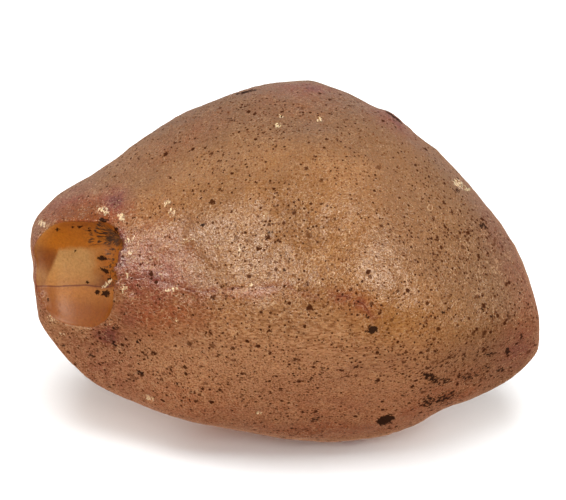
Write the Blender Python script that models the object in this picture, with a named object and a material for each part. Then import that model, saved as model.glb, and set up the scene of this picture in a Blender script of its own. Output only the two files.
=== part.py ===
"""Raw carnelian: one waterworn chalcedony pebble with a fresh chip at its left end.

The stone is shaped in its own frame, in millimetres: U to the right, V up the broad face and W out of
that face. The broad face leans back by FACE_LEAN, and the stone rests on a small flat worn on its
underside. The finished solid is in metres, +Z up, with its origin under the middle of its box.
"""

import math

import bmesh
import bpy
import numpy as np
from mathutils import Matrix, Vector

MM = 0.001
NODE_NAME = "carnelian_stone"

# Driving dimensions, in millimetres and degrees.
FACE_LEAN = 28.0  # how far the broad face leans back from upright
FRONT_DEPTH = 15.0  # from the stone's middle to the front of its body, before the facets are worn on
BACK_DEPTH = 16.0
SQUARENESS = 2.4  # 2 is an ellipse from front to back, more is boxier
RESTING_WEAR = 0.9  # thickness worn off the underside, which leaves the flat that it rests on
GRID = 27  # quads along each edge of the cube that becomes the stone

# The rim of the broad face, anticlockwise in U and V, through the points that its shape turns on.
RIM = (
    (-21.65, 1.2), (-21.4, -0.2), (-21.25, -3.0), (-20.95, -5.95), (-18.75, -9.2),
    (-17.95, -10.15), (-16.1, -10.95), (-10.6, -13.25), (-4.0, -14.7), (2.0, -15.45),
    (7.5, -15.25), (9.2, -14.95), (11.2, -14.1), (14.6, -12.25), (17.5, -11.4), (19.45, -10.8),
    (21.6, -8.15), (22.0, -5.3), (21.1, -1.5), (19.05, 2.25), (16.75, 5.25), (13.6, 9.1),
    (10.2, 11.9), (9.3, 12.65), (8.0, 13.35), (4.6, 15.3), (2.6, 16.0), (-0.4, 15.75),
    (-4.2, 14.6), (-8.7, 12.9), (-11.9, 11.3), (-15.75, 8.7), (-17.3, 7.6), (-19.3, 6.2),
    (-21.2, 3.8),
)  # fmt: skip

# Worn facets: outward direction in U, V, W, distance from the middle, and how far their edges are rounded.
FACETS = {
    "upper_front": ((-0.06, 0.27, 0.95), 12.0, 2.0),
    "lower_front": ((-0.03, -0.22, 0.97), 13.1, 1.0),
    "left_front": ((-0.34, 0.05, 0.94), 12.0, 1.3),
    "crest": ((0.02, 0.78, 0.62), 13.0, 2.5),
    "upper_left": ((-0.42, 0.66, 0.62), 13.0, 2.5),
    "lower_left": ((-0.42, -0.55, 0.72), 13.2, 2.0),
    "under_front": ((0.05, -0.80, 0.60), 13.0, 2.5),
    "right_front": ((0.58, -0.06, 0.81), 16.6, 3.0),
    "right_shoulder": ((0.50, 0.45, 0.74), 13.8, 3.0),
    "right_bevel": ((0.70, 0.66, 0.27), 15.6, 0.5),
    "undercut": ((0.50, -0.74, 0.45), 16.6, 1.2),
    "back_crest": ((0.10, 0.55, -0.83), 12.6, 2.0),
    "back_left": ((-0.50, 0.25, -0.83), 14.2, 2.0),
    "back_right": ((0.55, 0.10, -0.83), 15.2, 2.0),
    "back_under": ((-0.10, -0.50, -0.86), 14.6, 2.0),
    "back_heel": ((0.42, -0.60, -0.68), 15.6, 2.0),
    "back_toe": ((-0.62, -0.40, -0.68), 15.4, 2.0),
    "back_shoulder": ((0.72, 0.45, -0.53), 16.4, 2.0),
    "back_brow": ((-0.40, 0.72, -0.57), 13.8, 2.0),
}

# Low relief: number of waves, shortest and longest wavelength, height, and the seed of their directions.
SWELLS = ((24, 9.0, 20.0, 0.16, 3), (40, 2.2, 5.0, 0.05, 5))

# Flakes struck off: middle, outward direction, half-sizes outward, up the face and across it,
# squareness, and unevenness of the outline. Old scars have worn smooth, fresh chips are crisp.
SCARS = {
    "crest": ((-6.85, 14.1, -1.2), (-0.33, 0.94, 0.05), (0.45, 4.6, 3.2), 2.0, 0.10),
    "shoulder": ((12.05, 10.8, -1.0), (0.56, 0.825, 0.05), (0.4, 2.8, 3.2), 2.0, 0.10),
    "back": ((8.5, 3.0, -13.4), (0.20, 0.30, -0.93), (2.6, 6.8, 8.4), 2.0, 0.12),
    "heel": ((-13.5, -1.5, -10.5), (-0.68, -0.10, -0.73), (1.5, 5.0, 4.2), 2.0, 0.12),
}
CHIPS = {
    "chip": ((-18.2, -1.3, 5.8), (-0.46, -0.08, 0.885), (2.3, 5.15, 3.9), 2.6, 0.05),
    "chip_corner": ((-16.0, 1.2, 6.9), (-0.36, -0.12, 0.92), (1.9, 2.3, 2.2), 2.2, 0.08),
}
CUTTER_SEGMENT = 0.8  # length of a face round the middle of a chip's cutter
SCAR_ROUNDING = 0.3  # how far an old scar's edge has worn round
FACE_UP = Vector((0.0, 1.0, 0.0))


def clear_scene():
    """Removes what the file opened with."""
    for obj in list(bpy.data.objects):
        bpy.data.objects.remove(obj, do_unlink=True)


def rim_radius(angles):
    """The rim's distance from the middle at each angle: a smooth closed curve through RIM's points."""
    points = np.array(RIM)
    turns = np.arctan2(points[:, 1], points[:, 0])
    order = np.argsort(turns)
    turns, radii = turns[order], np.hypot(points[:, 0], points[:, 1])[order]
    turns = np.concatenate([turns[-2:] - math.tau, turns, turns[:3] + math.tau])
    radii = np.concatenate([radii[-2:], radii, radii[:3]])
    slopes = np.gradient(radii, turns)
    start = np.clip(np.searchsorted(turns, angles, side="right") - 1, 1, len(turns) - 3)
    step = turns[start + 1] - turns[start]
    t = (angles - turns[start]) / step
    return (
        (2 * t**3 - 3 * t**2 + 1) * radii[start]
        + (t**3 - 2 * t**2 + t) * step * slopes[start]
        + (3 * t**2 - 2 * t**3) * radii[start + 1]
        + (t**3 - t**2) * step * slopes[start + 1]
    )


def round_min(a, b, rounding):
    """The smaller of a and b, blended where they differ by less than rounding."""
    near = np.maximum(rounding - np.abs(a - b), 0) / rounding
    return np.minimum(a, b) - near**2 * rounding / 4


def swell(points, count, shortest, longest, height, seed):
    """Low rolling relief: a sum of plane sine waves in seeded directions."""
    random = np.random.RandomState(seed)
    directions = random.normal(size=(count, 3))
    directions /= np.linalg.norm(directions, axis=1)[:, None]
    lengths = np.exp(random.uniform(math.log(shortest), math.log(longest), count))
    phases = random.uniform(0, math.tau, count)
    weights = lengths / longest
    waves = np.sin(points @ (directions * math.tau / lengths[:, None]).T + phases)
    return height * (waves * weights).sum(1) / math.sqrt((weights**2).sum() / 2)


def stone_radius(directions):
    """How far the stone's surface lies from its middle along each unit direction in U, V, W."""
    u, v, w = directions.T
    flat = np.hypot(u, v)
    depth = np.where(w > 0, FRONT_DEPTH, BACK_DEPTH)
    body = (flat / rim_radius(np.arctan2(v, u))) ** SQUARENESS + (np.abs(w) / depth) ** SQUARENESS
    radius = body ** (-1 / SQUARENESS)
    for normal, distance, rounding in FACETS.values():
        facing = directions @ np.array(Vector(normal).normalized())
        worn = round_min(radius, distance / np.maximum(facing, 0.05), rounding)
        radius = np.where(facing > 0.05, worn, radius)
    points = directions * radius[:, None]
    return radius + sum(swell(points, *waves) for waves in SWELLS)


def face_to_world():
    """Turns U, V, W into X, Y, Z: the broad face looks along -Y and leans back by FACE_LEAN."""
    lean = math.radians(FACE_LEAN)
    across = Vector((1, 0, 0))
    up = Vector((0, math.sin(lean), math.cos(lean)))
    out = Vector((0, -math.cos(lean), math.sin(lean)))
    return Matrix((across, up, out)).transposed()


def flake_axes(outward):
    """The flake's own axes as columns: outward, up the face, and across it."""
    out = Vector(outward).normalized()
    across = FACE_UP.cross(out).normalized()
    return Matrix((out, out.cross(across), across)).transposed()


def uneven(up, across, turn):
    """Sines of the place in a flake that keep its outline from being a true oval."""
    waves = np.sin(2.9 * up + turn) * np.sin(3.3 * across - turn)
    return waves + 0.6 * np.sin(4.7 * up - 3.9 * across + turn)


def press_scar(points, middle, outward, half_sizes, squareness, unevenness):
    """Pushes the points that stand over a scar down to its floor, along its outward axis."""
    axes = np.array(flake_axes(outward))
    out, up, across = ((points - np.array(middle)) @ (axes / np.array(half_sizes))).T
    factor = 1 + unevenness * uneven(up, across, middle[0])
    room = 1 - np.abs(up / factor) ** squareness - np.abs(across / factor) ** squareness
    stands = (out + np.maximum(room, 0) ** (1 / squareness)) * half_sizes[0]
    stands = np.where((room > 0) & (out < 1), stands, -SCAR_ROUNDING)
    soft = np.maximum(stands + SCAR_ROUNDING, 0) ** 2 / (4 * SCAR_ROUNDING)
    taken = np.where(stands > SCAR_ROUNDING, stands, soft)
    return points - taken[:, None] * axes[:, 0]


def rough_stone():
    """The pebble with its old scars: a gridded cube, pushed out to the stone's radius and pressed in."""
    bm = bmesh.new()
    bmesh.ops.create_cube(bm, size=2.0)
    bmesh.ops.subdivide_edges(bm, edges=bm.edges[:], cuts=GRID - 1, use_grid_fill=True)
    corners = np.array([vert.co for vert in bm.verts])
    directions = np.tan(corners * math.pi / 4)
    directions /= np.linalg.norm(directions, axis=1)[:, None]
    points = directions * stone_radius(directions)[:, None]
    for scar in SCARS.values():
        points = press_scar(points, *scar)
    points = points @ np.array(face_to_world()).T
    for vert, point in zip(bm.verts, points):
        vert.co = Vector(point) * MM
    bmesh.ops.recalc_face_normals(bm, faces=bm.faces[:])
    return bm


def wear_flat(bm):
    """Cuts the underside off level, closes it with one flat face, and sets that face at Z = 0."""
    floor = min(vert.co.z for vert in bm.verts) + RESTING_WEAR * MM
    everything = bm.verts[:] + bm.edges[:] + bm.faces[:]
    cut = bmesh.ops.bisect_plane(
        bm, geom=everything, plane_co=(0, 0, floor), plane_no=(0, 0, -1), clear_outer=True, dist=1e-6
    )
    edges = [item for item in cut["geom_cut"] if isinstance(item, bmesh.types.BMEdge)]
    bmesh.ops.contextual_create(bm, geom=edges)
    bmesh.ops.recalc_face_normals(bm, faces=bm.faces[:])
    xs = [vert.co.x for vert in bm.verts]
    ys = [vert.co.y for vert in bm.verts]
    shift = Vector((-(min(xs) + max(xs)) / 2, -(min(ys) + max(ys)) / 2, -floor))
    for vert in bm.verts:
        vert.co += shift
    for edge in edges:
        for vert in edge.verts:
            vert.co.z = 0.0
    return shift


def new_object(name, bm):
    """A linked object that holds the bmesh."""
    mesh = bpy.data.meshes.new(name)
    bm.to_mesh(mesh)
    bm.free()
    obj = bpy.data.objects.new(name, mesh)
    bpy.context.scene.collection.objects.link(obj)
    return obj


def chip_cutter(name, middle, outward, half_sizes, squareness, unevenness, shift):
    """An uneven, squared-off egg of the chip's hollow, set where the chip was struck off."""
    segments = round(math.tau * max(half_sizes) / CUTTER_SEGMENT / 2) * 2
    bm = bmesh.new()
    bmesh.ops.create_uvsphere(bm, u_segments=segments, v_segments=segments // 2, radius=1.0)
    points = np.array([vert.co for vert in bm.verts])
    points *= (np.abs(points) ** squareness).sum(1)[:, None] ** (-1 / squareness)
    points[:, 1:] *= 1 + unevenness * uneven(points[:, 1:2], points[:, 2:], middle[0])
    for vert, point in zip(bm.verts, points * np.array(half_sizes) * MM):
        vert.co = Vector(point)
    cutter = new_object(name, bm)
    place = face_to_world() @ (Vector(middle) * MM) + shift
    turn = face_to_world() @ flake_axes(outward)
    cutter.matrix_world = Matrix.Translation(place) @ turn.to_4x4()
    cutter.display_type = "WIRE"
    cutter.hide_render = True
    return cutter


def carnelian_material():
    """Waxy orange-brown chalcedony under a fine pitted skin."""
    material = bpy.data.materials.new("carnelian_skin")
    material.use_nodes = True
    shader = material.node_tree.nodes["Principled BSDF"]
    shader.inputs["Base Color"].default_value = (0.38, 0.17, 0.08, 1.0)
    shader.inputs["Roughness"].default_value = 0.42
    shader.inputs["Metallic"].default_value = 0.0
    return material


def build():
    """The finished stone, with its chips cut out by Booleans."""
    clear_scene()
    bm = rough_stone()
    shift = wear_flat(bm)
    stone = new_object(NODE_NAME, bm)
    stone.data.materials.append(carnelian_material())
    for name, chip in CHIPS.items():
        cutter = chip_cutter(name + "_cutter", *chip, shift)
        cut = stone.modifiers.new(name, "BOOLEAN")
        cut.operation = "DIFFERENCE"
        cut.solver = "EXACT"
        cut.object = cutter
    stone.data.shade_smooth()
    stone.data.set_sharp_from_angle(angle=math.radians(35))


build()
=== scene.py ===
import itertools
import logging
import math
from dataclasses import dataclass
from enum import Enum

import bpy
import numpy as np
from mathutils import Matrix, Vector


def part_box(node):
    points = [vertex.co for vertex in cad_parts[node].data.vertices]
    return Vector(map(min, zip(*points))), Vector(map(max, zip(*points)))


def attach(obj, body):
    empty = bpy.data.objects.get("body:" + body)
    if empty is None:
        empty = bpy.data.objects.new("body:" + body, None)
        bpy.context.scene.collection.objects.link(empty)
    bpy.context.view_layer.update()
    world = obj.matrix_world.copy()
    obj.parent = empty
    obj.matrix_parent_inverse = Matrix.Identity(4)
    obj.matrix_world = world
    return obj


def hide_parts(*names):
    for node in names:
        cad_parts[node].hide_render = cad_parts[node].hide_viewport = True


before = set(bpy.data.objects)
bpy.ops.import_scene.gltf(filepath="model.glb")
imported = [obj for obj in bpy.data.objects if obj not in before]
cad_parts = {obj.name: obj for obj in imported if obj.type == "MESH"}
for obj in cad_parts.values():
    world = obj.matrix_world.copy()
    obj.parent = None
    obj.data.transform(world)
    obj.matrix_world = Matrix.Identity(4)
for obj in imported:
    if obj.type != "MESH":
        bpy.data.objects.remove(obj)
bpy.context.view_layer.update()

STONE_NODE = "carnelian_stone"
STONE_BODY = "root"
SKIN_SLOT = "carnelian_skin"
PICTURE_WIDTH, PICTURE_HEIGHT = 566, 500  # in pixels
MM = 0.001  # in metres
FAR = 1000.0  # in mm, well past the stone on every side
LEAST_DOT = 0.35  # the smallest dot's radius, as a share of the largest one's
DOT_EDGE = (1.0, 0.6)  # where a dot is 0 and where it is 1, as shares of its radius
LEAST_FACING = 0.05  # the cosine below which a plane doesn't meet a direction
LATTICE_PRIMES = (73856093, 19349663, 83492791)  # one for each whole coordinate of a cube
SEED_PRIME = 2654435761
BIT_MIXERS = ((31, 0x7FB5D329728EA185), (27, 0x81DADEF4BC2DD44D))  # shifts and factors
KEPT_BITS = 24  # of the 64 mixed bits, how many become a number from 0 to 1
MIX_UNDER, MIX_OVER, MIX_COLOUR = 6, 7, 2  # a Mix node's two colour inputs and its colour output
MERGE_STEPS = 1e5  # corners of the cube's faces that agree to one part in this many are one

Triple = tuple[float, float, float]
Limits = tuple[float, float]  # where a soft step is 0, and where it is 1
Spot = tuple[float, float, float, float, float, float]
Surface = tuple[np.ndarray, np.ndarray, dict[str, np.ndarray]]


class Blend(Enum):
    """How one colour is laid over another."""

    COVER = "MIX"
    DARKEN = "MULTIPLY"


class Side(Enum):
    """Which face of the stone a coloured spot lies on, as the sign of W."""

    FRONT = 1
    BACK = -1


def unit(vector: Triple | np.ndarray) -> np.ndarray:
    """The vector at a length of one."""
    array = np.array(vector, float)
    return array / np.linalg.norm(array)


def ease(value: np.ndarray, low: float, high: float) -> np.ndarray:
    """0 below low, 1 above high, and the cubic 3t^2 - 2t^3 between them."""
    t = np.clip((value - low) / (high - low), 0, 1)
    return t * t * (3 - 2 * t)


def round_min(a: np.ndarray, b: np.ndarray, rounding: float) -> np.ndarray:
    """The smaller of two surfaces' distances, with the corner where they cross rounded off."""
    # Where |a - b| < rounding, (rounding - |a - b|)^2 / (4 rounding) is taken off the smaller.
    near = np.maximum(rounding - np.abs(a - b), 0) / rounding
    return np.minimum(a, b) - near**2 * rounding / 4


def cube_random(cubes: np.ndarray, seed: int, count: int) -> list[np.ndarray]:
    """Random numbers that belong to the cubes of a lattice.

    Args:
        cubes: whole coordinates of the cubes, one row each.
        seed: gives another set of numbers.
        count: how many numbers each cube gets.

    Returns:
        count arrays of numbers from 0 to 1, found by mixing the bits of the coordinates.
    """
    state = (cubes * np.array(LATTICE_PRIMES)).sum(1).astype(np.uint64)
    state = state + np.uint64(seed * SEED_PRIME)
    numbers = []
    for _ in range(count):
        for shift, factor in BIT_MIXERS:
            state = (state ^ (state >> np.uint64(shift))) * np.uint64(factor)
        numbers.append((state >> np.uint64(64 - KEPT_BITS)).astype(float) / 2**KEPT_BITS)
    return numbers


@dataclass(frozen=True)
class Swell:
    """Low rolling relief: a sum of plane sine waves in seeded directions. Lengths are in mm."""

    count: int
    shortest: float
    longest: float
    height: float
    seed: int

    def relief(self, points: np.ndarray) -> np.ndarray:
        """Height of the relief: waves of random direction, length and phase, longer ones higher.

        Args:
            points: places on the stone, in mm.

        Returns:
            Heights whose spread is about the swell's height.
        """
        random = np.random.RandomState(self.seed)
        directions = random.normal(size=(self.count, 3))
        directions /= np.linalg.norm(directions, axis=1)[:, None]
        limits = math.log(self.shortest), math.log(self.longest)
        lengths = np.exp(random.uniform(*limits, self.count))
        phases = random.uniform(0, math.tau, self.count)
        weights = lengths / self.longest
        waves = np.sin(points @ (directions * math.tau / lengths[:, None]).T + phases)
        return self.height * (waves * weights).sum(1) / math.sqrt((weights**2).sum() / 2)


@dataclass(frozen=True)
class Pits:
    """Bowls scattered over the skin, at most one for each cube of a lattice. Lengths are in mm.

    A bowl's radius and depth are shares of the full ones: a least share, and what chance adds.
    """

    cell: float
    share: float
    radius: float
    depth: float
    seed: int
    radius_shares: tuple[float, float] = (0.55, 0.9)
    depth_shares: tuple[float, float] = (0.4, 0.6)

    def sunk(self, points: np.ndarray) -> np.ndarray:
        """How deep the pits lie at each point.

        Each chosen cube holds one bowl. It sinks by its depth times (1 - d^2)^2, where d is the
        distance from its random middle over its random radius.

        Args:
            points: places on the stone, in mm.

        Returns:
            Depths from 0 up to the pits' depth.
        """
        home = np.floor(points / self.cell).astype(np.int64)
        deepest = np.zeros(len(points))
        for step in itertools.product((-1, 0, 1), repeat=3):
            cube = home + np.array(step)
            *middle, size, chosen = cube_random(cube, self.seed, 5)
            offset = points - (cube + np.stack(middle, 1)) * self.cell
            reach = self.radius * (self.radius_shares[0] + self.radius_shares[1] * size)
            near = np.clip(1 - (offset**2).sum(1) / reach**2, 0, 1)
            bowl = self.depth * (self.depth_shares[0] + self.depth_shares[1] * size) * near**2
            deepest = np.maximum(deepest, np.where(chosen < self.share, bowl, 0))
        return deepest


@dataclass(frozen=True)
class Facet:
    """One plane worn on the stone: its outward direction, distance from the middle and rounding."""

    outward: Triple
    distance: float
    rounding: float

    def wear(self, directions: np.ndarray, radius: np.ndarray) -> np.ndarray:
        """Wears the plane on: its own radius along a direction is its distance over the cosine.

        Args:
            directions: unit directions from the middle.
            radius: how far the stone reaches along each of them, in mm.

        Returns:
            The smaller of the two radii, rounded where they meet.
        """
        facing = directions @ unit(self.outward)
        worn = round_min(radius, self.distance / np.maximum(facing, LEAST_FACING), self.rounding)
        return np.where(facing > LEAST_FACING, worn, radius)


@dataclass(frozen=True)
class Flake:
    """A flake struck off: a hollow shaped as part of a rounded egg. Lengths are in mm.

    Its half-sizes are given outward, up the face and across it.
    """

    middle: Triple
    outward: Triple
    half_sizes: Triple
    rounding: float
    squareness: float = 2.0
    unevenness: float = 0.07

    def axes(self) -> np.ndarray:
        """The egg's axes, square to one another.

        Returns:
            Rows of unit directions: outward, up the face, and across it.
        """
        out = unit(self.outward)
        across = unit(np.cross((0.0, 1.0, 0.0), out))
        return np.stack([out, np.cross(out, across), across])

    def carve(self, points: np.ndarray) -> tuple[np.ndarray, np.ndarray]:
        """Pushes the points that stand over the hollow down to its floor, along its outward axis.

        The floor lies at -(1 - |b|^n - |c|^n)^(1/n) of the outward half-size, where b and c are the
        place up and across in half-sizes and n is the squareness. Both are first divided by an
        uneven factor near 1, a product and a sum of sines of b and c, so that the rim isn't a true
        oval. Near the floor, (height + rounding)^2 / (4 rounding) is taken off instead.

        Args:
            points: the stone's surface.

        Returns:
            The carved points, and how much was taken off at each of them.
        """
        axes = self.axes()
        local = (points - np.array(self.middle)) @ (axes / np.array(self.half_sizes)[:, None]).T
        b, c = local[:, 1], local[:, 2]
        turn = self.middle[0]
        uneven = np.sin(2.9 * b + turn) * np.sin(3.3 * c - turn)
        uneven += 0.6 * np.sin(4.7 * b - 3.9 * c + turn)
        factor = 1 + self.unevenness * uneven
        power = self.squareness
        room = 1 - np.abs(b / factor) ** power - np.abs(c / factor) ** power
        floor = -np.maximum(room, 0) ** (1 / power)
        stands = (local[:, 0] - floor) * self.half_sizes[0]
        stands = np.where((room > 0) & (local[:, 0] < 1), stands, -FAR)
        soft = (stands + self.rounding) ** 2 / (4 * self.rounding)
        taken = np.where(stands > self.rounding, stands, np.where(stands < -self.rounding, 0, soft))
        return points - taken[:, None] * axes[0], taken


@dataclass(frozen=True)
class Fissure:
    """A healed crack through the chipped end. Lengths are in mm.

    Its route gives its V at each U, and its ends are the U at which it stops in front and at the
    back. A ripple is its axis, height, rate and phase.
    """

    route: tuple[tuple[float, float], ...]
    front_end: float
    back_end: float
    ripples: tuple[tuple[int, float, float, float], ...] = (
        (0, 0.05, 1.3, 0.7), (0, 0.02, 4.1, 0.0), (2, 0.12, 1.1, 0.0),
    )  # fmt: skip
    groove_depth: float = 0.03
    groove_width: float = 0.16
    swell_above: float = 0.5

    def distance(self, points: np.ndarray) -> np.ndarray:
        """How far above the crack each point lies.

        The crack's level is its route, joined by straight lines, plus its ripples, sines of U or W.

        Args:
            points: the stone's surface.

        Returns:
            Distances that are negative below the crack, and grow past its two ends.
        """
        u, v, w = points.T
        route = np.array(self.route)
        level = np.interp(u, route[:, 0], route[:, 1])
        for axis, height, rate, phase in self.ripples:
            level += height * np.sin(points[:, axis] * rate + phase)
        above = v - level
        past = np.maximum(u - np.where(w > 0, self.front_end, self.back_end), 0)
        return np.where(above < 0, -1, 1) * np.hypot(above, past)

    def sunk(self, above: np.ndarray) -> np.ndarray:
        """How deep the skin sinks along the crack: a groove, less a low swell over it."""
        # The groove's depth times exp(-(d / width)^2) - exp(-|d - swell|), with d above the crack.
        groove = np.exp(-((above / self.groove_width) ** 2))
        return self.groove_depth * (groove - np.exp(-np.abs(above - self.swell_above)))


@dataclass(frozen=True)
class SpotField:
    """Soft spots of colour on one face of the stone.

    A spot is its U and V, its two half-sizes, its turn in degrees, and its strength.
    """

    side: Side
    spots: tuple[Spot, ...]
    fade: float = 1.0

    def strength(self, points: np.ndarray) -> np.ndarray:
        """The strongest spot at each point: its strength times exp(-d^2), with d in half-sizes.

        Args:
            points: the stone's surface.

        Returns:
            Strengths, which fall to 0 within the fade of the plane between the two faces.
        """
        strongest = np.zeros(len(points))
        for u, v, half_u, half_v, turn, strength in self.spots:
            c, s = math.cos(math.radians(turn)), math.sin(math.radians(turn))
            along = ((points[:, 0] - u) * c + (points[:, 1] - v) * s) / half_u
            beside = ((points[:, 1] - v) * c - (points[:, 0] - u) * s) / half_v
            strongest = np.maximum(strongest, strength * np.exp(-(along**2) - beside**2))
        return strongest * ease(points[:, 2] * self.side.value, -self.fade, self.fade)


@dataclass(frozen=True)
class CubeSphere:
    """Directions over a sphere from a cube's six gridded faces, drawn closer about the chip."""

    divisions: int
    towards: Triple
    draw: float
    reach: float

    def grid(self) -> tuple[np.ndarray, np.ndarray]:
        """The directions and the quads that join them.

        Each face is a grid of tangents of even angles. A direction d then moves towards the chip's
        direction c by draw * exp(-|c - d|^2 / reach^2) * (c - d), and is made a unit vector again.

        Returns:
            Unit directions with the faces' shared edges merged, and rows of four corner numbers.
        """
        side = self.divisions + 1
        tangents = np.tan(np.linspace(-1, 1, side) * math.pi / 4)
        a, b = np.meshgrid(tangents, tangents, indexing="ij")
        one = np.ones_like(a)
        faces = ((one, a, b), (-one, b, a), (b, one, a), (a, -one, b), (a, b, one), (b, a, -one))
        numbers = np.arange(side**2).reshape(side, side)
        corners = (numbers[:-1, :-1], numbers[1:, :-1], numbers[1:, 1:], numbers[:-1, 1:])
        quad = np.stack(corners, -1).reshape(-1, 4)
        points = np.concatenate([np.stack(face, -1).reshape(-1, 3) for face in faces])
        quads = np.concatenate([quad + index * side**2 for index in range(6)])
        keys = np.round(points * MERGE_STEPS).astype(np.int64)
        _, first, merged = np.unique(keys, axis=0, return_index=True, return_inverse=True)
        directions = points[first] / np.linalg.norm(points[first], axis=1)[:, None]
        gap = unit(self.towards) - directions
        pull = self.draw * np.exp(-(gap**2).sum(1) / self.reach**2)
        directions = directions + pull[:, None] * gap
        directions /= np.linalg.norm(directions, axis=1)[:, None]
        return directions, merged.reshape(-1)[quads]


@dataclass(frozen=True)
class FaceFrame:
    """Turns U, V, W in mm, across, up and out of the broad face, into X, Y, Z in metres.

    The lean is how far the face leans back from upright, in degrees. The shift is in metres.
    """

    lean: float
    shift: Triple = (0.0, 0.0, 0.0)

    def turn(self) -> np.ndarray:
        """Columns: the X, Y, Z directions of U, V and W."""
        c, s = math.cos(math.radians(self.lean)), math.sin(math.radians(self.lean))
        return np.array([[1, 0, 0], [0, s, -c], [0, c, s]], float)

    def world(self, points: np.ndarray) -> np.ndarray:
        """Points on the stone, placed in the part's frame."""
        return points @ self.turn().T * MM + np.array(self.shift)

    def direction(self, vector: Triple) -> Vector:
        """A direction in U, V, W as one in X, Y, Z."""
        return Vector(self.turn() @ np.array(vector, float))

    def mapping(self) -> dict[str, Triple]:
        """The Mapping node's values that turn Object coordinates back into U, V, W in mm.

        Returns:
            Location, rotation and scale.
        """
        back = -np.array(self.shift) @ self.turn() / MM
        return {
            "Location": tuple(back),
            "Rotation": (math.radians(self.lean - 90), 0.0, 0.0),
            "Scale": (1 / MM,) * 3,
        }


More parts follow.
